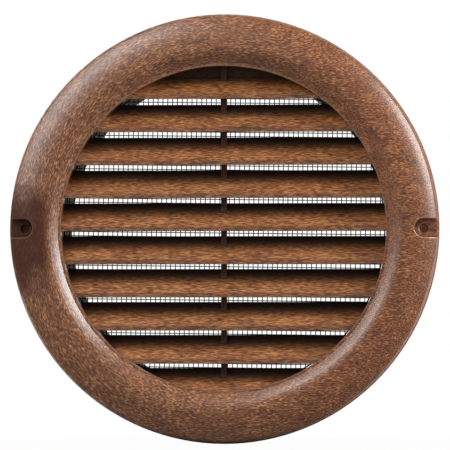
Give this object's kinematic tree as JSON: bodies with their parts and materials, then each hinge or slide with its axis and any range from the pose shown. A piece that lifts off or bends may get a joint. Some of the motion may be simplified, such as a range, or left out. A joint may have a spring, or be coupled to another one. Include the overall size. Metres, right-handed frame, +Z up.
{
  "type": "round vent cover",
  "caption": "Round louvred vent cover: hollow rounded rim, sloping slats, side screw recesses, a duct collar and an insect mesh behind the slats.",
  "frame": {"origin": "centre of the rim's back edge, in the plane of the wall", "axes": "+Z up, +X to the right seen from the room, +Y into the wall along the collar"},
  "size_m": [0.15, 0.044, 0.15],
  "materials": {
    "wood_look_plastic": "satin moulded plastic, brown with fine wood-look streaks",
    "screen_yarn": "dark grey coated screen yarn"
  },
  "bodies": {
    "root": {"louvre_grille": "wood_look_plastic", "insect_mesh": "screen_yarn"}
  },
  "joints": []
}
